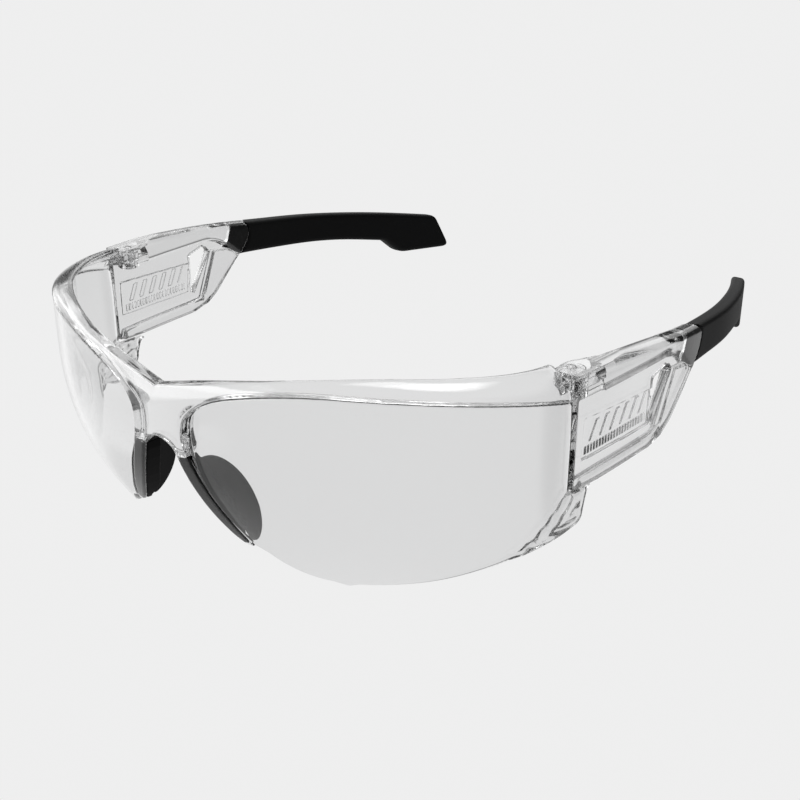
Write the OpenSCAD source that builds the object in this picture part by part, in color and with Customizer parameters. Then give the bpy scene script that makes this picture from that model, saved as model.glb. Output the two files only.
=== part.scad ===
// Safety glasses: clear wrap-round front with two lenses, folding temples
// with soft black tips, and soft nose pads.
// Frame: +X is the wearer's left, the front faces -Y, the temples run to +Y,
// +Z is up.  Origin: centre of the bounding box's bottom face.
// Inside the modules, y = 0 is the lens's outer edge and z = 0 the brow line.

/* [Front] */
// Half width of the front, from the middle plane to the lens's outer edge
front_half_w = 66.6; // [62:0.2:72]
// Depth of the wrap, from the temple joint forward to the bridge
wrap_depth = 43.8; // [38:0.2:48]
// Height below the brow at which the lens starts to curve inwards
draw_start_z = -7; // [-10:1:-4]
// Vertical curve of the lens: the larger, the flatter
draw_size = 43.5; // [41:0.5:60]

/* [Lenses] */
// Thickness of the lens
lens_t = 2.2; // [1.8:0.1:3]
// Depth of the lens below the brow line, at its lowest
lens_drop = 40.4; // [36:0.1:42]
// Gap between neighbouring pieces that touch
seat_gap = 0.06; // [0.05:0.01:0.2]

/* [Nose] */
// Half width of the bridge at its narrowest
bridge_half_w = 6.9; // [6:0.1:9]
// Height of the arch over the nose
arch_z = -10.8; // [-13:0.2:-8]
// Width of the leg that carries a nose pad
leg_w = 2.8; // [2.4:0.1:4]
// Length of a nose pad
pad_len = 20; // [16:0.5:22]
// Depth of a nose pad, front to back
pad_depth = 6.2; // [5:0.2:8]
// Thickness of a nose pad
pad_t = 2; // [1.6:0.1:3]

/* [Temples] */
// Distance from the temple joint back to the end of the tip
temple_len = 117.6; // [110:0.5:125]
// Thickness of the flat side panel
panel_t = 2.2; // [1.8:0.1:3]
// Thickness of the rounded top rail
rail_t = 4.6; // [4:0.1:6]
// Thickness of the soft tip
tip_t = 3.8; // [3.4:0.1:5]
// Depth of the recessed badge panel, which is left plain
badge_depth = 0.4; // [0.2:0.1:0.8]

/* [Hinges] */
// Radius of the hinge knuckles
knuckle_r = 2.5; // [2.3:0.1:3]
// Radius of the hinge pin
pin_r = 0.9; // [0.8:0.05:1.1]
// Radial running clearance between pin and knuckle
pin_clear = 0.05; // [0.02:0.01:0.1]
// Distance of the hinge axis from the middle plane
hinge_x = 63.2; // [62.8:0.1:63.6]
// Distance of the hinge axis behind the lens's outer edge
hinge_y = 4.4; // [4:0.1:5]

/* [Hidden] */
$fn = 48;

clear_frame = [0.9, 0.92, 0.93, 0.5];
clear_lens = [0.88, 0.9, 0.91, 0.35];
pad_black = [0.1, 0.1, 0.11];
core_black = [0.13, 0.13, 0.14];
tip_black = [0.07, 0.07, 0.08];
pin_metal = [0.62, 0.63, 0.65];

low_z = -lens_drop;
bridge_proud = 0.2; // bridge in front of the lens surface
fore_y = -wrap_depth - bridge_proud;
origin_shift = [0, -(temple_len + fore_y) / 2, -low_z];

// ---- helpers ------------------------------------------------------------
function clamp(value, low, high) = min(max(value, low), high);
function mix(a, b, part) = (1 - part) * a + part * b;
// evenly spaced values from first to last, both included
function stations(first, last, steps) = [for (i = [0:steps]) first + i * (last - first) / steps];

// loft through closed convex sections with equal point counts
module loft(sections) {
    count = len(sections[0]);
    last = (len(sections) - 1) * count;
    walls = [for (a = [0:count:last - count], j = [0:count - 1])
        let (b = a + count, k = (j + 1) % count)
        each [[a + j, b + k, b + j], [a + j, a + k, b + k]]];
    first_cap = [for (j = [1:count - 2]) [0, j + 1, j]];
    last_cap = [for (j = [1:count - 2]) [last, last + j, last + j + 1]];
    polyhedron(points = [for (section = sections) each section],
        faces = concat(walls, first_cap, last_cap), convexity = 8);
}

// side = 1 is the wearer's left, side = -1 the right
module on_side(side) {
    if (side > 0) children();
    else mirror([1, 0, 0]) children();
}

// extrude an outline drawn in y and z along +X
module extrude_x(x, width)
    translate([x, 0, 0]) rotate([90, 0, 90]) linear_extrude(height = width) children();

// ---- front surface: an ellipse in plan that draws in below the brow -----
// angle runs round the wrap from the middle plane, out is the offset forwards
nose_flatten = 5.5;   // added to draw_size near the nose
nose_flatten_x = 18;  // where that starts to fade
nose_flatten_fade = 30;

function ease(value) = let (c = clamp(value, 0, 1)) c * c * (3 - 2 * c);
function draw_in(z, x) = z > draw_start_z ? 1
    : let (fade = ease((abs(x) - nose_flatten_x) / nose_flatten_fade))
    sqrt(1 - pow((z - draw_start_z) / (draw_size + nose_flatten * (1 - fade)), 2));
function surface_x(angle, out = 0) = (front_half_w + out) * sin(angle);
function surface_y(angle, z, out) =
    -(wrap_depth + out) * pow(max(cos(angle), 0), 1.06) * draw_in(z, surface_x(angle));
function surface_point(angle, z, out) = [surface_x(angle, out), surface_y(angle, z, out), z];
function angle_at(x) = asin(clamp(x / front_half_w, -1, 1));

// ---- front frame --------------------------------------------------------
brow_end_angle = 84;
brow_bottom_z = 4.4;      // highest point of the brow bar's lower edge
brow_bottom_angle = 36;   // and where it lies
brow_top_z = 7.4;

function brow_bottom(angle) = let (a = abs(angle))
    brow_bottom_z - (a < brow_bottom_angle ? 0.0075 : 0.0018) * pow(a - brow_bottom_angle, 2);
function brow_top(angle) = let (a = abs(angle))
    brow_top_z - (a < 47 ? 0.0035 * pow(46 - a, 2) : 0.04 * (a - 47));
function brow_depth(angle) = 3 + 3 * clamp((abs(angle) - 22) / 40, 0, 1);

// columns of the list: part of the height, offset out
function brow_section(angle) =
    let (bottom = brow_bottom(angle), height = brow_top(angle) - bottom, depth = brow_depth(angle))
    [for (p = [[0, 0.1], [0.42, -0.14 * depth], [0.8, -0.45 * depth], [1, -0.8 * depth],
               [0.85, -depth], [0.35, -depth], [0, -0.75 * depth]])
        surface_point(angle, bottom + p[0] * height, p[1])];

module brow_bar()
    loft([for (angle = stations(-brow_end_angle, brow_end_angle, 42)) brow_section(angle)]);

// distance from the middle plane to the frame's edge beside the lens
rim_bend_z = arch_z + 2.3;
function rim_x(z) = bridge_half_w + (z > rim_bend_z
    ? 9.8 * pow((z - rim_bend_z) / 9.4, 2.54)
    : 0.54 * (sqrt(pow(rim_bend_z - z, 2) + 36) - 6));

// columns of the list: z, offset out, rise above z
function bridge_section(x) =
    let (angle = angle_at(x), top = 0.012 * x * x, low = arch_z - 0.09 * x * x,
         middle = (low + top) / 2)
    [for (p = [[low, bridge_proud, 0], [middle, bridge_proud, 0], [top, -0.4, 0],
               [top, -2.6, 0], [middle, -3.6, 0], [low, -3.6, 0.5]])
        [x, surface_y(angle, p[0], p[1]), p[0] + p[2]]];

// plate on the front surface between the two lenses
module bridge() {
    half_w = rim_x(arch_z) - 0.4;
    loft([for (x = stations(-half_w, half_w, 16)) bridge_section(x)]);
}

// level section of a plate that follows the front surface
function plate_section(x_in, x_out, z, front, back) =
    let (inner = angle_at(x_in), outer = angle_at(x_out))
    [surface_point(inner, z, front), surface_point(outer, z, front),
     surface_point(outer, z, back), surface_point(inner, z, back)];

// fills the bridge's rounded corner up to the lens
cheek_x = 3;
module cheek(side) on_side(side)
    loft([for (z = stations(brow_bottom(14), arch_z + 1, 6))
        plate_section(cheek_x, rim_x(z), z, bridge_proud, -2.9)]);

// runs down beside the lens and carries the pad: wider at its top three
// sections, narrowed at the last
leg_top_z = arch_z + 1.6;
leg_step = 2.36;
leg_steps = 10;
module leg(side) on_side(side)
    loft([for (i = [0:leg_steps])
        let (z = leg_top_z - i * leg_step, edge_x = rim_x(z),
             width = (leg_w + max(3 - i, 0) * 0.5) * (i == leg_steps ? 0.55 : 1))
        plate_section(edge_x - width, edge_x, z, 0.4, -2.4)]);

// knuckle boundaries, from the bottom up: temple, frame, temple
knuckle_z = [-0.7, 0.9, 3.3, 4.7];
knuckle_gap = 0.08;
hole_r = pin_r + pin_clear;

// frame's knuckle, with an arm forward to the end block
lug_front_y = -3.4;
lug_z = knuckle_z[1] + knuckle_gap;
lug_h = knuckle_z[2] - knuckle_z[1] - 2 * knuckle_gap;
module lug(side) on_side(side) difference() {
    union() {
        translate([hinge_x, hinge_y, lug_z]) cylinder(r = knuckle_r, h = lug_h);
        translate([hinge_x - knuckle_r, lug_front_y, lug_z])
            cube([2 * knuckle_r, hinge_y - lug_front_y, lug_h]);
    }
    translate([hinge_x, hinge_y, -5]) cylinder(r = hole_r, h = 15);
}

// joins the brow bar to the lug
module end_block(side) on_side(side)
    translate([hinge_x - knuckle_r, -7, 1.2]) cube([2 * knuckle_r - 0.6, 4, 3]);

module front_frame() color(clear_frame) {
    brow_bar();
    bridge();
    for (side = [-1, 1]) {
        cheek(side);
        leg(side);
        end_block(side);
        lug(side);
    }
}

// ---- lenses -------------------------------------------------------------
rim_gap = 0.25;             // between the frame's edge and the lens
lowest_x = 33;              // where the lens is lowest
nose_corner_z = low_z + 8.1;
nose_corner_x = rim_x(nose_corner_z) + rim_gap;
top_corner_x = 17.4;        // inner end of the lens's top edge
lens_end_angle = 89.6;

function lens_low(x) = x < lowest_x
    ? min(low_z + 0.00624 * pow(lowest_x - x, 2.69), nose_corner_z - 0.55 * (x - 16.9))
    : low_z + 0.0842 * pow(x - lowest_x, 1.41);

// the four edges as [x, z]: u runs from nose to outer edge, v from bottom to top
function spread_x(start, u) = start + (front_half_w - start) * sin(90 * u);
function bottom_edge(u) = let (x = spread_x(nose_corner_x, u)) [x, lens_low(x)];
function top_edge(u) = let (x = spread_x(top_corner_x, u))
    [x, brow_bottom(angle_at(x)) - seat_gap];
function nose_edge(v) = let (z = mix(bottom_edge(0)[1], top_edge(0)[1], v))
    [rim_x(z) + rim_gap, z];
function outer_edge(v) = [front_half_w, mix(bottom_edge(1)[1], top_edge(1)[1], v)];

// Coons patch between the four edges
function patch(u, v) = mix(bottom_edge(u), top_edge(u), v) + mix(nose_edge(v), outer_edge(v), u)
    - mix(mix(bottom_edge(0), bottom_edge(1), u), mix(top_edge(0), top_edge(1), u), v);
function lens_point(u, v, out) = let (p = patch(u, v))
    surface_point(min(angle_at(p[0]), lens_end_angle), p[1], out);

module lens_shell() {
    u_steps = 26;
    v_steps = 12;
    row = v_steps + 1;
    back = (u_steps + 1) * row; // index of the back face's first point
    end = u_steps * row;        // index of the outer edge's first point
    points = [for (out = [0, -lens_t], i = [0:u_steps], j = [0:v_steps])
        lens_point(i / u_steps, j / v_steps, out)];
    front_and_back = [for (i = [0:u_steps - 1], j = [0:v_steps - 1])
        let (a = i * row + j, b = a + row)
        each [[a, b, b + 1, a + 1], [back + a, back + a + 1, back + b + 1, back + b]]];
    bottom_and_top = [for (i = [0:u_steps - 1])
        let (a = i * row, b = a + row, c = a + v_steps, d = b + v_steps)
        each [[a, back + a, back + b, b], [c, d, back + d, back + c]]];
    nose_and_outer = [for (j = [0:v_steps - 1])
        let (a = end + j)
        each [[j, j + 1, back + j + 1, back + j], [a, back + a, back + a + 1, a + 1]]];
    quads = concat(front_and_back, bottom_and_top, nose_and_outer);
    polyhedron(points = points,
        faces = [for (q = quads) each [[q[0], q[2], q[1]], [q[0], q[3], q[2]]]],
        convexity = 6);
}

// moulded on the lens's lower outer corner, below the temple
wing_outline = [ // [y, z]
    [-1, -28.4], [4.2, -28.4], [5.6, -27.4], [6.6, -23.4], [7.6, -21.6], [7.4, -21], [-0.6, -21]];
module wing() extrude_x(front_half_w - lens_t, lens_t + 0.4) polygon(wing_outline);

module lens(side) color(clear_lens) on_side(side) {
    lens_shell();
    wing();
}
module lens_left() lens(1);
module lens_right() lens(-1);

// ---- nose pads: thin D-shaped blades behind the legs --------------------
pad_centre = [11.4, -36.5, -23.2];
pad_tilt = [15.2, -25.1, 0];
pad_round_r = 12.2;
pad_root_inset = 3.6; // from each end of the pad

module nose_pad(side) color(pad_black) on_side(side)
    translate(pad_centre) rotate(pad_tilt) {
        extrude_x(-pad_t / 2, pad_t) intersection() {
            translate([0.3, -pad_len / 2]) square([pad_depth, pad_len]);
            translate([pad_depth - pad_round_r, -0.6]) circle(r = pad_round_r, $fn = 64);
        }
        // root of the blade, seated against the back of the leg
        translate([-1.2, -1, -pad_len / 2 + pad_root_inset])
            cube([2.3, 3, pad_len - 2 * pad_root_inset]);
    }
module nose_pad_left() nose_pad(1);
module nose_pad_right() nose_pad(-1);

// ---- temples ------------------------------------------------------------
// smooth curve through a table of [position, value]
function segment(table, y, i = 0) =
    i >= len(table) - 2 || y < table[i + 1][0] ? i : segment(table, y, i + 1);
function slope(table, i) =
    let (a = table[max(i - 1, 0)], b = table[min(i + 1, len(table) - 1)])
    (b[1] - a[1]) / (b[0] - a[0]);
function curve(table, y) =
    let (i = segment(table, y), a = table[i], b = table[i + 1], h = b[0] - a[0],
         t = (y - a[0]) / h, t2 = t * t, t3 = t2 * t)
    a[1] * (2 * t3 - 3 * t2 + 1) + slope(table, i) * h * (t3 - 2 * t2 + t)
    + b[1] * (3 * t2 - 2 * t3) + slope(table, i + 1) * h * (t3 - t2);

table_end_y = temple_len + 2;
outer_face = [ // [y, x]
    [0, 67], [20, 68.6], [40, 69.4], [55, 68.2], [70, 66.2], [85, 62.5], [100, 57.6],
    [table_end_y, 50]];
top_line = [ // [y, z]
    [0, 5.1], [10, 4.8], [30, 3.1], [50, 0.7], [75, -2.2], [95, -5.2], [table_end_y, -9.8]];
tip_low_line = [ // [y, z]
    [44, -7.6], [60, -8.8], [80, -10.9], [98, -14.2], [table_end_y, -18]];

panel_y = 0.9;       // front edge of the side panel
panel_end_y = 50;
lower_rail_y = panel_y + 1.4;
rail_y = 8.4;        // front end of the rounded rail, behind the hinge
rail_base_z = -1.6;
rail_proud = 0.3;    // rails and sleeve outside the panel's outer face
sleeve_y = 40;       // front of the sleeve that holds the core
rail_end_y = sleeve_y + 1;
tip_y = 49.6;        // top of the joint between the clear sleeve and the soft tip
joint_y = tip_y + 0.4; // rearmost corner of that joint
joint_z = -1.2;
core_y = sleeve_y + 2;
core_end_y = 112;
core_outer = 1.1;    // core's faces, inwards from the outer face
core_inner = 3;
tip_proud = 0.1;

// plan band from y0 to y1, between two offsets inwards from the outer face
module band(y0, y1, outer, inner, steps = 24)
    translate([0, 0, -30]) linear_extrude(height = 42) polygon(concat(
        [for (y = stations(y0, y1, steps)) [curve(outer_face, y) - outer, y]],
        [for (y = stations(y1, y0, steps)) [curve(outer_face, y) - inner, y]]));

// side view outline, drawn in y and z, through the whole temple
module side_view() extrude_x(40, 35) children();

function top_points(y0, y1, steps) = [for (y = stations(y0, y1, steps)) [y, curve(top_line, y)]];

module side_panel() intersection() {
    band(panel_y, panel_end_y, 0, panel_t);
    side_view() difference() {
        polygon([[panel_y, -0.2], [rail_y, -0.2], [rail_y, 2], [30, 0.4], [45, 0.2],
            [47.8, -4.6], [45.6, -8.2], [36.6, -17], [33.2, -18.8], [28, -19.8], [9, -19.9],
            [panel_y, -19.7]]);
        // window
        polygon([[28, -4.4], [33.6, -2.9], [35.4, -4.7], [28.8, -15], [28, -14.6]]);
    }
}

module top_rail() intersection() {
    band(rail_y, rail_end_y, -rail_proud, rail_t - rail_proud);
    side_view() polygon(concat(top_points(rail_y, rail_end_y, 12),
        [[rail_end_y, rail_base_z], [rail_y, rail_base_z]]));
}

// lower and upper knuckle, each with its arm to the top rail
module hinge_arms() {
    root_y = rail_y + 0.5;
    root_x = curve(outer_face, root_y);
    for (i = [0, 2])
        translate([0, 0, knuckle_z[i]])
            linear_extrude(height = knuckle_z[i + 1] - knuckle_z[i]) difference() {
                union() {
                    translate([hinge_x, hinge_y]) circle(r = knuckle_r);
                    polygon([[hinge_x - 0.4, hinge_y], [hinge_x + knuckle_r - 0.1, hinge_y - 0.8],
                        [curve(outer_face, hinge_y) - 0.4, hinge_y + 1.4],
                        [root_x - 0.4, root_y], [root_x - 4, root_y]]);
                }
                translate([hinge_x, hinge_y]) circle(r = hole_r);
            }
}

module lower_rail() intersection() {
    band(lower_rail_y, 36, -rail_proud, 3.1);
    side_view() polygon([[lower_rail_y, -19.9], [9, -20.2], [28, -20.1], [33, -18.9],
        [34.4, -16.6], [28, -17.2], [9, -17.4], [lower_rail_y, -17.4]]);
}

// strut behind the window
module rear_strut() intersection() {
    band(29, panel_end_y, -0.2, 3);
    side_view() polygon([[30.6, -18.9], [33.3, -18.8], [36.6, -16.9], [45.8, -7.9], [40, -6],
        [36.6, -5.2]]);
}

module core_sleeve() intersection() {
    band(sleeve_y, tip_y, -rail_proud, tip_t + 0.5);
    side_view() polygon(concat(top_points(sleeve_y, tip_y, 1),
        [[joint_y, joint_z], [45.9, -8], [44.6, -8.8], [sleeve_y, -7.6]]));
}

// cuts the plain badge into the outer face
module badge_recess() intersection() {
    band(2, 40, -1, badge_depth);
    side_view() polygon([[3.4, -5.4], [27.6, -7], [27.2, -14.6], [3.2, -14]]);
}

module core_pocket() {
    y0 = sleeve_y + 1.6;
    y1 = tip_y + 1;
    intersection() {
        band(y0, y1, core_outer - seat_gap, core_inner + seat_gap);
        side_view() polygon([[y0, 0.5], [y1, -0.8], [y1, -5.4], [47, -6.2], [y0, -5.6]]);
    }
}

module temple(side) color(clear_frame) on_side(side) difference() {
    union() {
        side_panel();
        top_rail();
        hinge_arms();
        lower_rail();
        rear_strut();
        core_sleeve();
    }
    badge_recess();
    core_pocket();
}
module temple_left() temple(1);
module temple_right() temple(-1);

// stiff core, grown by gap: plugs into the clear sleeve and carries the soft tip
module core_shape(gap = 0) {
    end_y = core_end_y + gap;
    intersection() {
        band(core_y, end_y, core_outer - gap, core_inner + gap, 32);
        side_view() polygon(concat(
            [for (y = stations(core_y, end_y, 10))
                [y, curve(top_line, y) - (y == core_y ? 2 : 2.2) + gap]],
            [for (p = [[end_y, -14], [97, -11.8], [80, -9], [60, -7], [50.6, -5.2], [46, -5.2],
                       [core_y, -5]])
                [p[0], p[1] - gap]]));
    }
}
module temple_core(side) color(core_black) on_side(side) core_shape();
module temple_core_left() temple_core(1);
module temple_core_right() temple_core(-1);

// soft tip: tapers back to a paddle that hangs behind the ear
module temple_tip(side) color(tip_black) on_side(side) difference() {
    intersection() {
        band(44.6, temple_len, -tip_proud, tip_t - tip_proud, 36);
        side_view() polygon(concat(
            top_points(tip_y + seat_gap, 114 + seat_gap, 14),
            [[115.6, curve(top_line, 115.6) - 1.2], [temple_len, -16.6],
             [temple_len - 0.6, -18.6], [temple_len - 2.4, -19.4], [101.4, -18.2],
             [99, -16.9], [96.6, -14.4]],
            [for (y = stations(95, 47, 6)) [y, curve(tip_low_line, y)]],
            [[46 + seat_gap, -8], [joint_y + seat_gap, joint_z]]));
    }
    core_shape(seat_gap);
}
module temple_tip_left() temple_tip(1);
module temple_tip_right() temple_tip(-1);

// ---- hinge pins ---------------------------------------------------------
pin_over = 0.1; // beyond the knuckles at each end
module hinge_pin(side) color(pin_metal) on_side(side) translate([hinge_x, hinge_y, 0]) {
    translate([0, 0, knuckle_z[0] - pin_over])
        cylinder(r = pin_r, h = knuckle_z[3] - knuckle_z[0] + 2 * pin_over);
    // head
    translate([0, 0, knuckle_z[3] + 0.05]) cylinder(r = pin_r + 0.7, h = 0.5);
}
module hinge_pin_left() hinge_pin(1);
module hinge_pin_right() hinge_pin(-1);

translate(origin_shift) {
    front_frame();
    lens_left();
    lens_right();
    nose_pad_left();
    nose_pad_right();
    temple_left();
    temple_right();
    temple_core_left();
    temple_core_right();
    temple_tip_left();
    temple_tip_right();
    hinge_pin_left();
    hinge_pin_right();
}
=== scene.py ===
"""Clear safety glasses with dark nose pads and temple tips, folded out and standing upright.

Shapes are signed distance fields in millimetres, in the working frame of the CAD source:
+x is the wearer's left, -y the front, +z up. to_row() takes them to the row frame in metres.
"""
import math

import bpy
import numpy as np
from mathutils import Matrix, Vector


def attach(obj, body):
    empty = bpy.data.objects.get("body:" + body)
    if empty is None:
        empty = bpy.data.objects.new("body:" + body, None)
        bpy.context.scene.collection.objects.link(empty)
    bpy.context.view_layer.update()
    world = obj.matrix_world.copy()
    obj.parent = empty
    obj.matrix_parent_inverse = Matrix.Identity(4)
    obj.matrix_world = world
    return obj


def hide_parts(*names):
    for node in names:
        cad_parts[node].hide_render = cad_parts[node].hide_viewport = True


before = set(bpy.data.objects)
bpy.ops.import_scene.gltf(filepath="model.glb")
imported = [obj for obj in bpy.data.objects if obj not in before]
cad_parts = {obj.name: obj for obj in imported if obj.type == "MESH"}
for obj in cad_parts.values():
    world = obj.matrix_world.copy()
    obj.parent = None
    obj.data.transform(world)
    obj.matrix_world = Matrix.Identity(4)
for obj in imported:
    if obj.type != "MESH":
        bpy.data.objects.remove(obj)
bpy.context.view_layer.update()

# ---------------------------------------------------------------- driving dimensions, mm
ROW_ORIGIN = np.array([0.0, -36.8, 40.4])
HALF_WIDTH = 66.6       # of the front, to its outer surface
FRONT_REACH = 43.8      # from the sides' front end to the middle of the front
WRAP_POWER = 1.06       # on the cosine of the wrap angle
HINGE_X, HINGE_Y = 63.2, 4.4
HINGE_DEPTH = HALF_WIDTH - HINGE_X
KNUCKLE_RADIUS, BORE_RADIUS, PIN_RADIUS = 2.5, 0.95, 0.9
FRAME_KNUCKLE_Z = 2.1
LOW_KNUCKLE_Z = (-0.7, 0.9)   # bottom and top of the temple's lower knuckle
CAP_BOTTOM_Z = 3.3
LENS_GAP = 0.25         # between lens and bridge
LENS_NOSE_Z = -32.3     # lower inner corner of the lens
CORE_INSET = 2.05       # middle of the core, inwards from the temple's outer face
CORE_END = 112
GRADIENT_STEP = 2e-3


def to_row(points):
    return (np.asarray(points, float) + ROW_ORIGIN) * 0.001


# ---------------------------------------------------------------- distance field tools
def ease(q):
    q = np.clip(q, 0, 1)
    return q * q * (3 - 2 * q)


def soft_min(a, b, blend):
    h = np.clip(0.5 + 0.5 * (b - a) / blend, 0, 1)
    return b + (a - b) * h - blend * h * (1 - h)


def soft_max(a, b, blend):
    return -soft_min(-a, -b, blend)


def slab(value, middle, half):
    return np.abs(value - middle) - half


def rounded_rect(a, b, half_a, half_b, radius):
    qa, qb = np.abs(a) - (half_a - radius), np.abs(b) - (half_b - radius)
    outside = np.hypot(np.maximum(qa, 0), np.maximum(qb, 0))
    return outside + np.minimum(np.maximum(qa, qb), 0) - radius


def outline_dist(a, b, points):
    """signed distance to a closed outline"""
    a, b = np.broadcast_arrays(a, b)
    x, y = a.ravel(), b.ravel()
    nearest = np.full(x.shape, 1e9)
    inside = np.zeros(x.shape, bool)
    for i, (ax, ay) in enumerate(points):
        bx, by = points[(i + 1) % len(points)]
        ex, ey = bx - ax, by - ay
        wx, wy = x - ax, y - ay
        h = np.clip((wx * ex + wy * ey) / (ex * ex + ey * ey + 1e-12), 0, 1)
        np.minimum(nearest, (wx - ex * h) ** 2 + (wy - ey * h) ** 2, out=nearest)
        if ay != by:
            inside ^= ((ay > y) != (by > y)) & (x < ex * (y - ay) / ey + ax)
    return (np.where(inside, -1.0, 1.0) * np.sqrt(nearest)).reshape(a.shape)


def plate(a, b, depth, points, middle, half, blend):
    """outline in a and b, carried through a slab in depth"""
    return soft_max(outline_dist(a, b, points), slab(depth, middle, half), blend)


def fillet(points, steps=6):
    """corners given as (a, b, radius) are rounded, plain (a, b) are kept"""
    out = []
    for i, point in enumerate(points):
        corner = np.array(point[:2], float)
        if len(point) < 3:
            out.append(tuple(corner))
            continue
        before = np.array(points[i - 1][:2], float) - corner
        after = np.array(points[(i + 1) % len(points)][:2], float) - corner
        start, end = (corner + leg * min(point[2], length * 0.49) / length
                      for leg, length in ((v, np.linalg.norm(v)) for v in (before, after)))
        for j in range(steps + 1):
            u = j / steps
            out.append(tuple((1 - u) ** 2 * start + 2 * u * (1 - u) * corner + u * u * end))
    return out


def station_curve(stations):
    """smooth curve through a few stations (position, value)"""
    at, value = np.array(stations, float).T
    slope = np.empty(len(at))
    slope[0] = (value[1] - value[0]) / (at[1] - at[0])
    slope[-1] = (value[-1] - value[-2]) / (at[-1] - at[-2])
    slope[1:-1] = (value[2:] - value[:-2]) / (at[2:] - at[:-2])

    def curve(y):
        y = np.asarray(y, float)
        i = np.clip(np.searchsorted(at, y) - 1, 0, len(at) - 2)
        h = at[i + 1] - at[i]
        u = (y - at[i]) / h
        return (value[i] * (2 * u**3 - 3 * u**2 + 1) + slope[i] * h * (u**3 - 2 * u**2 + u)
                + value[i + 1] * (3 * u**2 - 2 * u**3) + slope[i + 1] * h * (u**3 - u**2))

    return curve


def slopes(func, points):
    """central differences of func along the three axes"""
    return [(func(points + shift) - func(points - shift)) / (2 * GRADIENT_STEP)
            for shift in np.eye(3) * GRADIENT_STEP]


def gradient(solid, points):
    return np.stack(slopes(lambda p: solid(*p.T), points), 1)


# ---------------------------------------------------------------- meshes from distance fields
def surface_net(solid, low, high, spacing):
    """quads on the zero level of solid, then moved onto it"""
    low, high = np.array(low, float), np.array(high, float)
    count = np.ceil((high - low) / spacing).astype(int) + 1
    pitch = (high - low) / (count - 1)
    grid = [low[a] + pitch[a] * np.arange(count[a]) for a in range(3)]
    field = np.array(np.broadcast_to(solid(*np.ix_(*grid)), tuple(count)))
    field[field == 0] = 1e-9

    # one vertex per cell, at the mean of the crossings on its edges
    cells = count - 1
    total = np.zeros((*cells, 3), np.float32)
    hits = np.zeros(tuple(cells), np.float32)
    crossings = []
    for axis in range(3):
        line = np.moveaxis(field, axis, 0)
        crossed = (line[:-1] < 0) != (line[1:] < 0)
        with np.errstate(divide="ignore", invalid="ignore"):
            share = np.where(crossed, line[:-1] / (line[:-1] - line[1:]), 0)
        crossed, share = np.moveaxis(crossed, 0, axis), np.moveaxis(share, 0, axis)
        crossings.append(crossed)
        first, second = [a for a in range(3) if a != axis]
        for i in (0, 1):
            for j in (0, 1):
                part = [slice(None)] * 3
                part[first] = slice(i, i + cells[first])
                part[second] = slice(j, j + cells[second])
                mask = crossed[tuple(part)]
                total[..., axis] += share[tuple(part)] * mask
                total[..., first] += i * mask
                total[..., second] += j * mask
                hits += mask
    used = hits > 0
    index = np.full(used.shape, -1, np.int64)
    index[used] = np.arange(used.sum())
    verts = low + (np.argwhere(used) + total[used] / hits[used][:, None]) * pitch

    # one quad round every crossed grid edge inside the box
    quads = []
    for axis, crossed in enumerate(crossings):
        others = [a for a in range(3) if a != axis]
        edges = np.argwhere(crossed)
        across = edges[:, others]
        edges = edges[np.all((across > 0) & (across < count[others] - 1), axis=1)]
        corners = []
        for back in ((1, 1), (0, 1), (0, 0), (1, 0)):
            cell = edges.copy()
            cell[:, others] -= back
            corners.append(index[tuple(cell.T)])
        quad = np.stack(corners, 1)
        turn = (field[tuple(edges.T)] < 0) == (axis == 1)
        quad[turn] = quad[turn][:, ::-1]
        quads.append(quad)

    for _ in range(2):
        value = solid(*verts.T)
        grad = gradient(solid, verts)
        step = (value / np.maximum((grad**2).sum(1), 0.05))[:, None] * grad
        length = np.linalg.norm(step, axis=1)
        step *= np.minimum(1, 0.5 * pitch.min() / np.maximum(length, 1e-9))[:, None]
        verts = verts - step
    return verts, np.concatenate(quads)


def volume(verts, quads):
    a, b, c, d = (verts[quads[:, i]] for i in range(4))
    return sum(np.einsum("ij,ij->i", p, np.cross(q, r)) for p, q, r in ((a, b, c), (a, c, d))).sum() / 6


def surface(solid, place, low, high, spacing):
    """points, quads and outward normals of a solid, placed in the working frame"""
    verts, quads = surface_net(solid, low, high, spacing)
    grad = gradient(solid, verts)
    a, b, c = slopes(place, verts)
    normals = (np.cross(b, c) * grad[:, :1] + np.cross(c, a) * grad[:, 1:2]
               + np.cross(a, b) * grad[:, 2:])
    normals *= np.sign(np.einsum("ij,ij->i", a, np.cross(b, c)))[:, None]
    normals /= np.maximum(np.linalg.norm(normals, axis=1), 1e-12)[:, None]
    return place(verts), quads, normals


def add_piece(skin, name, body, node, material, side=1):
    """side 1 is the wearer's left, -1 mirrors it to the right"""
    verts, quads, normals = skin
    mirror = np.array([side, 1, 1])
    verts, normals = to_row(verts * mirror), normals * mirror
    if volume(verts, quads) < 0:
        quads = quads[:, ::-1]
    mesh = bpy.data.meshes.new(name)
    mesh.from_pydata(verts.tolist(), [], quads.tolist())
    mesh.polygons.foreach_set("use_smooth", np.ones(len(quads), bool))
    mesh.materials.append(material)
    mesh.update()
    mesh.normals_split_custom_set_from_vertices(normals.tolist())
    piece = bpy.data.objects.new(name, mesh)
    bpy.context.scene.collection.objects.link(piece)
    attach(piece, body)
    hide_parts(node)


def add_pair(skin, name, body, node, material):
    """{} in the names becomes left or right"""
    for side, word in ((1, "left"), (-1, "right")):
        add_piece(skin, name.format(word), body.format(word), node.format(word),
                  material, side)


# ---------------------------------------------------------------- the front surface
def draw_in(z, x):
    """scale on the front's reach, shrinking below z = -7"""
    q = np.minimum(z + 7.0, 0) / (43.5 + 5.5 * (1 - ease((np.abs(x) - 18) / 30)))
    return np.sqrt(np.maximum(1 - q * q, 0))


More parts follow.
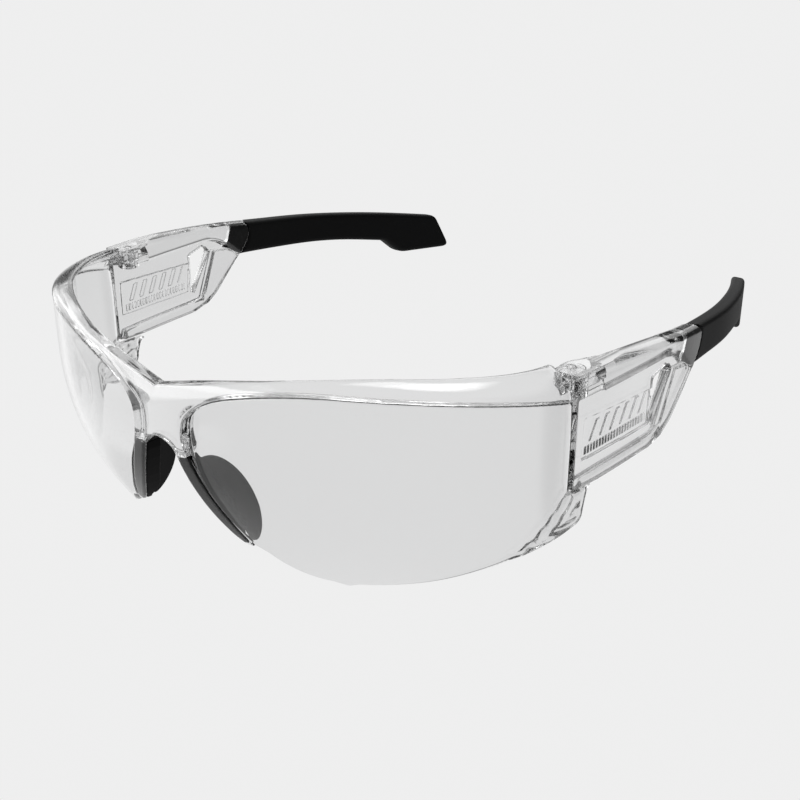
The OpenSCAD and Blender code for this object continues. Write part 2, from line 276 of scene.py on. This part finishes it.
def front_point(angle, z, out):
    """angle in degrees round the wrap, out is outwards from the front surface"""
    turn = np.radians(angle)
    x = (HALF_WIDTH + out) * np.sin(turn)
    y = -(FRONT_REACH + out) * np.maximum(np.cos(turn), 0) ** WRAP_POWER * draw_in(z, x)
    return np.stack(np.broadcast_arrays(x, y, z), -1)


# distance round the wrap at z = 0, against the angle
ANGLES = np.linspace(0, 90, 3601)
_chords = np.diff(front_point(ANGLES, np.zeros_like(ANGLES), 0), axis=0)
ARCS = np.concatenate([[0], np.cumsum(np.linalg.norm(_chords, axis=1))])
SIDE_ARC = ARCS[-1]


def angle_at(arc):
    return np.sign(arc) * np.interp(np.abs(arc), ARCS, ANGLES)


def angle_at_x(x):
    return np.degrees(np.arcsin(np.clip(np.asarray(x, float) / HALF_WIDTH, -1, 1)))


def arc_at_x(x):
    angle = angle_at_x(x)
    return np.sign(angle) * np.interp(np.abs(angle), ANGLES, ARCS)


def wrapped(points, shift=0):
    """(x, z) points as (arc, z), moved along the arc by shift"""
    return [(float(arc_at_x(x)) + shift, float(z)) for x, z in points]


def wrap_place(points):
    """(arc, z, depth) to the working frame; past the side it runs straight back"""
    arc, z, depth = points.T
    placed = front_point(angle_at(arc), z, -depth)
    placed[:, 1] += np.maximum(np.abs(arc) - SIDE_ARC, 0)
    return placed


def unwrap(x, y, z):
    """working frame to (arc, z, depth), near the nose"""
    depth = np.zeros(np.broadcast(x, y, z).shape)
    for _ in range(3):
        turn = np.arcsin(np.clip(x / (HALF_WIDTH - depth), -0.9, 0.9))
        depth = FRONT_REACH + y / (np.cos(turn) ** WRAP_POWER * draw_in(z, x))
    return arc_at_x(HALF_WIDTH * np.sin(turn)), z, depth


# brow edges and depth against the angle from the middle
def brow_low(angle):
    return np.where(angle < 36, 4.4 - 0.0075 * (36 - angle) ** 2, 4.4 - 0.0018 * (angle - 36) ** 2)


def brow_top(angle):
    return np.where(angle < 47, 7.4 - 0.0035 * (46 - angle) ** 2, 7.4 - 0.04 * (angle - 47))


def brow_depth(angle):
    return 3 + 3 * np.clip((angle - 22) / 40, 0, 1)


def rim_x(z):
    """outer edge of the bridge, beside the lens"""
    z = np.asarray(z, float)
    return np.where(z > -8.5, 6.9 + 9.8 * (np.maximum(z + 8.5, 0) / 9.4) ** 2.54,
                    6.9 + 0.54 * (np.sqrt(np.minimum(z + 8.5, 0) ** 2 + 36) - 6))


# ---------------------------------------------------------------- front frame
# (x, z) of the inner edge of the arch and leg, from the middle downwards
ARCH_EDGE = [
    (0, -10.8), (1.2, -10.95), (2.4, -11.35), (3.4, -12.0), (4.2, -12.95), (4.8, -14.2),
    (5.4, -16.0), (6.5, -18.8), (7.7, -21.4), (9.0, -24.0), (10.4, -26.5), (11.9, -28.9),
    (13.2, -30.8), (14.6, -32.3)]
BRIDGE = [(-3.0, -10.8)] + wrapped(
    ARCH_EDGE + [(15.6, -32.95), (16.6, -33.0)]
    + [(rim_x(z), z) for z in np.linspace(-32.9, 1.6, 40)] + [(12.0, 2.2)]) + [(-3.0, -2.6)]


def frame_lug(past, z, depth):
    """frame's hinge knuckle and its block; past is the distance behind the side's front end"""
    block = np.maximum(slab(depth, HINGE_DEPTH, 2.3), slab(past, 0.4, 4.0))
    block = soft_max(block, (0.91 * (depth - 1.1) - past - 3.6) * 0.74, 1.0)
    knuckle = np.hypot(past - HINGE_Y, depth - HINGE_DEPTH) - KNUCKLE_RADIUS
    return soft_max(soft_min(knuckle, block, 0.4), slab(z, FRAME_KNUCKLE_Z, 1.12), 0.2)


def frame_solid(arc, z, depth):
    arc = np.abs(arc)
    angle = angle_at(arc)
    low, top, brow = brow_low(angle), brow_top(angle), brow_depth(angle)
    # face of brow and bridge, leaning back towards the top
    height = top - low
    lean = (0.3 + 0.5 * ease(angle / 34)) * brow
    rise = np.clip((z - low) / height, 0, 1.25)
    slope = lean * 2.2 * rise**1.2 / height
    behind = (depth - (-0.1 + lean * rise**2.2)) / np.sqrt(1 + slope**2)
    outline = soft_max(low - z, z - top, 0.5)
    outline = soft_min(outline, outline_dist(arc, z, BRIDGE), 0.3)
    # thicker over the arch, thinner down the legs
    thick = (2.1 + 0.9 * (1 - ease((angle - 8) / 14)) * (1 - ease((-12.2 - z) / 1.2))
             - 1.1 * ease((-12.8 - z) / 1.4))
    # the edge of the bridge beside the lens runs deeper
    edge = arc_at_x(rim_x(z)) - arc
    flange = 2.2 * ease(1 - np.abs(edge) / 2.6) * ease((z + 14.5) / 3) * ease((-1.5 - z) / 5)
    solid = soft_max(-behind, behind - thick - flange, 0.5)
    solid = soft_max(solid, depth - brow - 0.4 * (1 - ease(angle / 20)) - flange, 0.9)
    solid = soft_max(solid, outline, 0.6)
    solid = soft_max(solid, arc - (SIDE_ARC + 0.1), 0.6)
    past = arc - SIDE_ARC
    solid = soft_min(solid, frame_lug(past, z, depth), 0.4)
    return soft_max(solid, BORE_RADIUS - np.hypot(past - HINGE_Y, depth - HINGE_DEPTH), 0.1)


# ---------------------------------------------------------------- lens
def lens_low(x):
    """lower edge, with a small tab between x = 31 and 35.2"""
    inner = np.minimum(-40.4 + 0.00624 * np.maximum(33 - x, 0) ** 2.69,
                       LENS_NOSE_Z - 0.55 * (x - 16.9))
    edge = np.where(x < 33, inner, -40.4 + 0.0842 * np.maximum(x - 33, 0) ** 1.41)
    return edge - 0.45 * ease((x - 31.0) / 0.4) * ease((35.2 - x) / 0.4)


def sine_spread(start, end, angles):
    return start + (end - start) * np.sin(np.radians(angles))


# (arc past the side, z, corner radius) up the rear edge
LENS_SIDE = [
    (4.2, -28.5, 1.2), (5.8, -27.6, 1.0), (6.5, -24.8, 1.5), (7.4, -22.0, 0.8),
    (9.0, -21.2, 0.5), (8.6, -20.9, 0.3), (1.4, -20.7, 0.8), (0.5, -19.6, 0.8),
    (0.55, -8.0), (0.4, -4.0), (0.1, -0.3)]
LENS_OUTLINE = fillet(
    wrapped((x, lens_low(x)) for x in sine_spread(float(rim_x(LENS_NOSE_Z)) + LENS_GAP,
                                                  HALF_WIDTH, np.linspace(0, 90, 60)))
    + [(SIDE_ARC + past, *rest) for past, *rest in LENS_SIDE]
    + wrapped((x, brow_low(angle_at_x(x)) - 0.05)
              for x in sine_spread(17.6, 66.4, np.linspace(90, 0, 50)))
    + wrapped((rim_x(z) + LENS_GAP, z) for z in np.linspace(0.9, LENS_NOSE_Z, 40)))
# (arc, z) round the raised side wing
WING = ([(SIDE_ARC + 1.5, -17.0), (SIDE_ARC - 0.9, -19.2)]
        + wrapped([(64.8, -25.8), (63.1, -27.9), (60.6, -30.6)])
        + [(SIDE_ARC + 14, -34), (SIDE_ARC + 14, -17)])


def lens_solid(arc, z, depth):
    outline = outline_dist(arc, z, LENS_OUTLINE)
    wing = outline_dist(arc, z, WING)
    bump = 0.4 * ease(-wing / 1.5)
    # the front face sits deeper beside the nose, below the face of the bridge
    step = (1.7 * ease((arc_at_x(rim_x(z)) + 18 - arc) / 18) * ease((z + 21) / 16)
            * ease((2.4 - z) / 11))
    # shallow ribs on the back of the side wing
    wave = np.cos(wing * 2.4) * 0.5 + np.cos((z + 0.25 * arc) * 2.1) * 0.5
    rib = 0.4 * ease((-wing - 0.6) / 1.0) * wave
    # edges are rounder at the wing, the side and along the bottom
    soft = np.maximum(ease(0.5 - wing / 2.5), ease((-24 - z) / 6))
    soft = np.maximum(soft, ease((arc - SIDE_ARC + 3) / 2))
    faces = np.maximum(step - bump - depth, depth - step - 1.9 - rib)
    return soft_max(outline, faces, 0.3 + 0.6 * soft)


# ---------------------------------------------------------------- nose pad
def cos_sin(degrees):
    return math.cos(math.radians(degrees)), math.sin(math.radians(degrees))


def pad_rotation(about_x, about_y):
    c, s = cos_sin(about_x)
    rot_x = np.array([[1, 0, 0], [0, c, -s], [0, s, c]])
    c, s = cos_sin(about_y)
    return np.array([[c, 0, s], [0, 1, 0], [-s, 0, c]]) @ rot_x


PAD_TURN = pad_rotation(15.2, -25.1)
PAD_AT = np.array([11.4, -36.5, -23.2])
PAD_HALF_WIDTH, PAD_HALF_HEIGHT = 6.1, 10.0
PAD_ROOT = (
    [(4.9, -14.0)] + wrapped(ARCH_EDGE[6:], -0.02) + wrapped([(15.2, -32.2), (16.4, -32.2)])
    + wrapped(((rim_x(z), z) for z in np.linspace(-32, -14.4, 18)), -0.1) + [(7.2, -13.6)])


def pad_place(points):
    return points @ PAD_TURN.T + PAD_AT


def pad_solid(x, y, z):
    # half an ellipse, cut off at the front
    u, v = (y - 0.2) / PAD_HALF_WIDTH, (z + 0.5) / PAD_HALF_HEIGHT
    rho = np.hypot(u, v) + 1e-6
    blade = rho * (rho - 1) / np.hypot(u / PAD_HALF_WIDTH, v / PAD_HALF_HEIGHT)
    blade = soft_max(blade, 0.2 - y, 0.8)
    blade = soft_max(blade, np.abs(x) - (0.75 + 0.25 * ease(1 - y / 5.0)), 0.7)
    # the root lies behind the leg of the bridge
    arc, height, depth = unwrap(*(turn[0] * x + turn[1] * y + turn[2] * z + at
                                  for turn, at in zip(PAD_TURN, PAD_AT)))
    back = depth - 4.4 + 2.2 * ease((-27.5 - height) / 4.5)
    root = soft_max(outline_dist(arc, height, PAD_ROOT), np.maximum(0.78 - depth, back), 0.3)
    return soft_min(blade, root, 0.6)


# ---------------------------------------------------------------- temples
# stations (y, x of the outer face) and (y, z of an edge)
temple_x = station_curve([
    (0, 67), (20, 68.6), (40, 69.4), (55, 68.2), (70, 66.2), (85, 62.5), (100, 57.6), (119.6, 50)])
temple_top = station_curve([
    (0, 5.1), (10, 4.8), (30, 3.1), (50, 0.7), (75, -2.2), (95, -5.2), (119.6, -9.8)])
tip_low = station_curve([(44, -7.6), (60, -8.8), (80, -10.9), (98, -14.2), (119.6, -18)])
rail_low = station_curve([
    (0, -1.5), (30, -1.5), (35, -1.7), (39, -3.3), (42, -5.6), (45, -8.2), (52, -13.5)])

# side outlines (y, z, corner radius)
PANEL = fillet([
    (0.95, 0.2, 0.3), (8.4, -0.2), (8.4, 2), (30, 0.4), (45, 0.2), (50, -4), (46.4, -8.4),
    (36.8, -17, 0.8), (33.4, -18.9, 1.0), (28, -19.8), (9, -19.9), (0.95, -19.7, 0.6)])
WINDOW = fillet([
    (28, -4.4, 0.8), (33.6, -2.9, 0.8), (35.4, -4.7, 0.8), (28.8, -15, 0.5), (28, -14.6, 0.4)])
LOW_RAIL = fillet([
    (2.0, -19.9, 0.8), (9, -20.25), (28, -20.15), (33.2, -19.0, 1.0), (34.6, -16.8, 0.8),
    (28, -17.3), (9, -17.4), (2.6, -17.6, 0.8)])
STRUT = fillet([
    (30.6, -18.9, 0.6), (33.3, -18.8, 0.8), (36.7, -16.9, 1.0), (45.9, -7.9, 0.6),
    (41, -5.6, 0.5), (36.6, -5.0, 0.5)])
SLEEVE = fillet([
    (0.2, 7.5), (48.2, 7.5), (49.0, 0.9, 0.3), (49.9, -0.2, 0.8), (50.3, -2.4, 1.5),
    (48.4, -5.6, 1.0), (46.0, -8.3, 0.9), (44.4, -9.2, 0.6), (40, -9.2), (38, -3), (0.2, -3)])
RECESS = fillet([(3.4, -5.3, 0.4), (28.0, -6.6, 0.4), (27.2, -14.4, 0.4), (3.2, -13.9, 0.4)])
POCKET = fillet([(42.3, 1.1, 0.6), (52, 0.0), (52, -8.0), (46.0, -7.4, 0.5), (40.3, -4.9, 0.6)])
# plan outlines (x, y, corner radius) at the hinge
CAP = fillet([(61.2, 1.0, 0.5), (66.9, 0.55, 0.8), (68.0, 12.0), (64.0, 12.0), (61.0, 6.0, 1.5)])
WEB = [(HINGE_X - 0.6, HINGE_Y), (HINGE_X + 2.3, HINGE_Y - 1.0), (66.9, 5.0), (68.2, 12.0),
       (66.9, 13.0), (63.4, 11.0)]


def slant(inset):
    """the joint with the tip runs askew, further forward on the inner side"""
    return 1.8 * ease((inset - 0.2) / 4.0)


def temple_place(points):
    """(y, z, inset from the outer face) to the working frame"""
    y, z, inset = points.T
    return np.stack([temple_x(y) - inset, y, z], -1)


def temple_rail(y, z, inset):
    """rounded rail along the top, hollowed out round the hinge"""
    top = temple_top(y)
    half = (top - rail_low(y)) / 2
    rail = rounded_rect(z - (top - half), inset - 2.0, half, 2.3, np.minimum(1.7, 0.9 * half))
    rail = soft_max(rail, 1.0 - y, 0.8)
    rail = soft_max(rail, outline_dist(y + slant(inset), z, SLEEVE), 0.6)
    scoop = soft_max(np.hypot(y - 2.4, z + 1.6) - 9.0, 1.35 - inset, 0.5)
    scoop = soft_max(scoop, z - 3.26, 0.3)
    return soft_max(rail, -scoop, 0.4)


def recess_relief(y, z, inset):
    """plain raised bars and a row of ribs inside the recess"""
    bar_z, bar_pitch, rib_pitch = -8.8, 3.5, 1.0
    lean = (z - bar_z) * 0.5
    bar = slab((y - lean + 1.1) % bar_pitch, bar_pitch / 2, 0.6)
    bar = np.maximum(np.maximum(slab(z, bar_z, 2.0), bar), slab(y - lean, 15.5, 9.3))
    rib = slab((y + 0.5) % rib_pitch, rib_pitch / 2, 0.24)
    rib = np.maximum(np.maximum(rib, slab(z, -12.4, 0.8)), slab(y, 15.3, 10.7))
    return soft_max(np.minimum(bar, rib), slab(inset, 0.45, 0.3), 0.1)


def temple_solid(y, z, inset):
    panel = soft_max(outline_dist(y, z, PANEL), -outline_dist(y, z, WINDOW), 0.3)
    solid = soft_max(panel, slab(inset, 1.0, 1.0), 0.2)
    solid = soft_min(solid, temple_rail(y, z, inset), 0.5)
    solid = soft_min(solid, plate(y, z, inset, LOW_RAIL, 1.4, 1.7, 1.0), 0.5)
    solid = soft_min(solid, plate(y, z, inset, STRUT, 1.4, 1.6, 0.6), 0.4)
    recess = soft_max(outline_dist(y, z, RECESS), inset - 0.45, 0.08)
    solid = soft_max(solid, -recess, 0.08)
    solid = soft_min(solid, recess_relief(y, z, inset), 0.1)
    solid = soft_max(solid, -plate(y, z, inset, POCKET, CORE_INSET, 1.05, 0.2), 0.1)
    # hinge knuckles
    x = temple_x(y) - inset
    from_pin = np.hypot(x - HINGE_X, y - HINGE_Y)
    bottom, top = LOW_KNUCKLE_Z
    lower = np.minimum(from_pin - KNUCKLE_RADIUS, outline_dist(x, y, WEB))
    lower = soft_max(lower, slab(z, (bottom + top) / 2, (top - bottom) / 2), 0.2)
    cap_top = z - temple_top(y) - 0.45 * ease((11 - y) / 8)
    cap = soft_max(outline_dist(x, y, CAP), np.maximum(CAP_BOTTOM_Z - z, cap_top), 0.5)
    solid = soft_min(soft_min(solid, lower, 0.2), cap, 0.5)
    # clearance round the frame's knuckle, and the pin bore
    clearance = soft_max(from_pin - 2.62, slab(z, FRAME_KNUCKLE_Z, 1.2), 0.05)
    solid = soft_max(solid, -clearance, 0.1)
    return soft_max(solid, np.maximum(BORE_RADIUS - from_pin, z - 4.3), 0.1)


# ---------------------------------------------------------------- temple tip, core and hinge pin
def along(curve, start, end, count, shift=0):
    return [(float(y), float(curve(y)) + shift) for y in np.linspace(start, end, count)]


TIP = fillet(
    along(temple_top, 49.05, 111, 26)
    + [(113.9, float(temple_top(113.9)), 1.8), (118.9, -19.2, 2.6), (102.0, -18.6, 2.2),
       (96.9, float(tip_low(96.9)), 1.2)]
    + along(tip_low, 94, 47, 16)
    + [(46.05, -8.2), (48.55, -5.6), (49.6, -4.3), (50.15, -2.9), (50.3, -1.8), (50.1, -0.6),
       (49.6, 0.2)])
CORE = fillet(
    [(40.4, -4.8, 0.6), (42.4, 1.0, 0.6)] + along(temple_top, 50, CORE_END, 12, -1.0)
    + [(CORE_END, -14), (97, -11.8), (80, -9), (60, -7.2), (52, -7.5), (46.1, -7.3)])


def tip_solid(y, z, inset):
    joint = slant(inset) * (1 - ease((y - 54) / 20))
    solid = plate(y + joint, z, inset, TIP, 1.8, 1.9, 1.3)
    hollow = soft_max(plate(y, z, inset, CORE, CORE_INSET, 1.0, 0.1), y - CORE_END, 0.1)
    return soft_max(solid, -hollow, 0.1)


def core_solid(y, z, inset):
    return soft_max(plate(y, z, inset, CORE, CORE_INSET, 1.07, 0.2), y - 111.9, 0.3)


def pin_solid(x, y, z):
    return soft_max(np.hypot(x, y) - PIN_RADIUS, slab(z, 1.75, 2.5), 0.25)


def pin_place(points):
    return points + np.array([HINGE_X, HINGE_Y, 0])


# ---------------------------------------------------------------- materials
def clear_tree(owner):
    owner.use_nodes = True
    owner.node_tree.nodes.clear()
    return owner.node_tree


def add_node(tree, kind, inputs={}, **settings):
    """inputs are values, or sockets to link from"""
    node = tree.nodes.new(kind)
    for name, value in settings.items():
        setattr(node, name, value)
    for key, value in inputs.items():
        if isinstance(value, bpy.types.NodeSocket):
            tree.links.new(value, node.inputs[key])
        else:
            node.inputs[key].default_value = value
    return node


def surface_material(name, color, roughness, inputs):
    material = bpy.data.materials.new(name)
    tree = clear_tree(material)
    shader = add_node(tree, "ShaderNodeBsdfPrincipled", {
        "Base Color": (*color, 1), "Roughness": roughness, **inputs})
    output = add_node(tree, "ShaderNodeOutputMaterial", {"Surface": shader.outputs[0]})
    return material, tree, shader, output


def clear_plastic(name, tint, roughness=0.0, absorb=0.0):
    material, tree, _, output = surface_material(
        name, tint, roughness, {"IOR": 1.585, "Transmission Weight": 1.0})
    if absorb:
        inside = add_node(tree, "ShaderNodeVolumeAbsorption", {
            "Color": (0, 0, 0, 1), "Density": absorb})
        tree.links.new(inside.outputs[0], output.inputs["Volume"])
    return material


def dark_plastic(name, color, roughness, specular, grain=0.0):
    material, tree, shader, _ = surface_material(
        name, color, roughness, {"Specular IOR Level": specular})
    if grain:
        coords = add_node(tree, "ShaderNodeTexCoord")
        noise = add_node(tree, "ShaderNodeTexNoise", {
            "Vector": coords.outputs["Object"], "Scale": 4000.0, "Detail": 2.0})
        bump = add_node(tree, "ShaderNodeBump", {
            "Height": noise.outputs["Fac"], "Strength": grain, "Distance": 0.00005})
        tree.links.new(bump.outputs[0], shader.inputs["Normal"])
    return material


CLEAR_FRAME = clear_plastic("clear_frame", (0.893, 0.895, 0.897), absorb=22)
CLEAR_LENS = clear_plastic("clear_lens", (0.895, 0.897, 0.899), absorb=50)
PAD_RUBBER = dark_plastic("pad_rubber", (0.0015, 0.0015, 0.0016), 0.6, specular=0.05, grain=0.3)
TIP_RUBBER = dark_plastic("tip_rubber", (0.0062, 0.0063, 0.0066), 0.55, specular=0.08, grain=0.3)
CORE_PLASTIC = dark_plastic("core_plastic", (0.004, 0.004, 0.0045), 0.5, specular=0.1)
PIN_PLASTIC = clear_plastic("pin_plastic", (0.7, 0.7, 0.7), roughness=0.1)

# ---------------------------------------------------------------- build
# each surface: solid, placing, box corners in the solid's own coordinates, grid spacing
COARSE = 1.0
skin = surface(frame_solid, wrap_place, (-SIDE_ARC - 8, -34.5, -1.4), (SIDE_ARC + 8, 8.6, 7.2),
               0.32 * COARSE)
add_piece(skin, "front_frame_clear", "front", "front_frame", CLEAR_FRAME)
skin = surface(lens_solid, wrap_place, (5.5, -42, -1.3), (SIDE_ARC + 10.5, 5.6, 5.4), 0.34 * COARSE)
add_pair(skin, "lens_{}_clear", "front", "lens_{}", CLEAR_LENS)
skin = surface(pad_solid, pad_place, (-4.5, -4.5, -12.5), (4.5, 7.4, 12.5), 0.24 * COARSE)
add_pair(skin, "nose_pad_{}_soft", "front", "nose_pad_{}", PAD_RUBBER)
skin = surface(temple_solid, temple_place, (-0.2, -21.6, -1.2), (52, 6.4, 9.0), 0.24 * COARSE)
add_pair(skin, "temple_{}_clear", "temple_arm_{}", "temple_{}", CLEAR_FRAME)
skin = surface(core_solid, temple_place, (39.4, -15, 0.5), (113, 2, 3.7), 0.3 * COARSE)
add_pair(skin, "temple_core_{}_dark", "temple_arm_{}", "temple_core_{}",
         CORE_PLASTIC)
skin = surface(tip_solid, temple_place, (44.5, -20.6, -0.9), (119, 2.2, 4.6), 0.3 * COARSE)
add_pair(skin, "temple_tip_{}_soft", "temple_arm_{}", "temple_tip_{}", TIP_RUBBER)
skin = surface(pin_solid, pin_place, (-2.2, -2.2, -1.6), (2.2, 2.2, 6.0), 0.2)
add_pair(skin, "hinge_pin_{}_round", "front", "hinge_pin_{}", PIN_PLASTIC)

# ---------------------------------------------------------------- floor, studio and camera, metres
BACKGROUND = 0.859886   # grey of the floor and backdrop
scene = bpy.context.scene


def build_floor():
    """plain glowing sheet that only the camera sees"""
    half = 30.0
    mesh = bpy.data.meshes.new("floor")
    corners = [(-half, -half, 0), (half, -half, 0), (half, half, 0), (-half, half, 0)]
    mesh.from_pydata(corners, [], [(0, 1, 2, 3)])
    floor = bpy.data.objects.new("floor", mesh)
    floor.location.z = -0.0005
    scene.collection.objects.link(floor)
    material = bpy.data.materials.new("floor_pale")
    tree = clear_tree(material)
    glow = add_node(tree, "ShaderNodeEmission", {"Color": (BACKGROUND,) * 3 + (1,)})
    add_node(tree, "ShaderNodeOutputMaterial", {"Surface": glow.outputs[0]})
    mesh.materials.append(material)
    floor.visible_diffuse = floor.visible_glossy = False
    floor.visible_transmission = floor.visible_shadow = False


def build_studio():
    """world of soft bright and dark areas, told apart by ray direction"""
    world = bpy.data.worlds.new("studio")
    scene.world = world
    tree = clear_tree(world)
    ray = add_node(tree, "ShaderNodeTexCoord").outputs["Generated"]
    x, y, z = add_node(tree, "ShaderNodeSeparateXYZ", {0: ray}).outputs
    in_camera = add_node(tree, "ShaderNodeVectorTransform", {0: ray}, vector_type="VECTOR",
                         convert_from="WORLD", convert_to="CAMERA")
    camera_axes = add_node(tree, "ShaderNodeSeparateXYZ", {0: in_camera.outputs[0]})

    def calc(operation, a, b):
        return add_node(tree, "ShaderNodeMath", {0: a, 1: b}, operation=operation).outputs[0]

    def ramp(value, start, end):
        """0 at start to 1 at end"""
        return add_node(tree, "ShaderNodeMapRange", {0: value, 1: start, 2: end},
                        interpolation_type="SMOOTHSTEP").outputs[0]

    def facing(direction):
        return add_node(tree, "ShaderNodeVectorMath", {0: ray, 1: direction},
                        operation="DOT_PRODUCT").outputs["Value"]

    def times(product, *factors):
        for factor in factors:
            product = calc("MULTIPLY", product, factor)
        return product

    def mix(factor, a, b):
        return add_node(tree, "ShaderNodeMix", {0: factor, 2: a, 3: b},
                        data_type="FLOAT").outputs[0]

    path = add_node(tree, "ShaderNodeLightPath")
    # the walls are softer for light that has come through the plastic
    through = calc("MINIMUM", path.outputs["Transmission Depth"], 1.0)

    def dim(amount):
        return calc("SUBTRACT", 1.0, calc("MULTIPLY", through, amount))

    dark = times(ramp(facing((0.9, 0.43, 0)), 0.78, 0.88), ramp(y, 0.3, 0.45), 0.9)
    below = times(ramp(z, -0.15, -0.35), calc("SUBTRACT", 1.0, dark))
    # the last factor of each part is its brightness
    parts = [
        # pale ground, dark towards +x +y, and a brighter patch towards -x
        times(below, 0.67),
        times(below, ramp(x, -0.5, -0.8), ramp(z, -0.6, -0.48), 0.4),
        # wall on the -x -y side, left of the camera's view
        times(ramp(z, -0.3, -0.12), ramp(z, 0.62, 0.48),
              ramp(facing((-0.85, -0.5, 0)), 0.55, 0.75), dim(0.75), 3.3),
        # higher band round the -x side
        times(ramp(z, 0.12, 0.3), ramp(z, 0.62, 0.5),
              ramp(facing((-0.95, 0.31, 0)), -0.02, 0.15), dim(0.45), 1.5),
        # box overhead, and the soft light round it
        times(ramp(facing((-0.18, 0.36, 0.915)), 0.95, 0.985), 3.0),
        times(ramp(z, 0.35, 0.65), 0.6)]
    light = 0.08
    for part in parts:
        light = calc("ADD", part, light)
    # plain backdrop for rays going the camera's way and for the camera itself
    light = mix(ramp(camera_axes.outputs[2], 0.82, 0.93), light, BACKGROUND)
    light = mix(path.outputs["Is Camera Ray"], light, BACKGROUND)
    sky = add_node(tree, "ShaderNodeBackground", {"Color": light})
    add_node(tree, "ShaderNodeOutputWorld", {"Surface": sky.outputs[0]})


def build_camera():
    data = bpy.data.cameras.new("camera")
    data.sensor_width = 36
    data.lens = 54
    data.clip_start, data.clip_end = 0.01, 100
    camera = bpy.data.objects.new("camera", data)
    scene.collection.objects.link(camera)
    camera.location = (0.166142, -0.217203, 0.130419)
    azimuth, elevation = math.radians(37.895), math.radians(23.903)
    back = Vector((math.sin(azimuth) * math.cos(elevation),
                   -math.cos(azimuth) * math.cos(elevation), math.sin(elevation)))
    camera.rotation_mode = "QUATERNION"
    camera.rotation_quaternion = (-back).to_track_quat("-Z", "Y")
    scene.camera = camera


build_floor()
build_studio()
build_camera()

scene.view_settings.view_transform = "Standard"
scene.view_settings.look = "None"
# many bounces, for light passing through layers of clear plastic
scene.cycles.max_bounces = 48
scene.cycles.transmission_bounces = 48
scene.cycles.glossy_bounces = 24
scene.cycles.transparent_max_bounces = 16
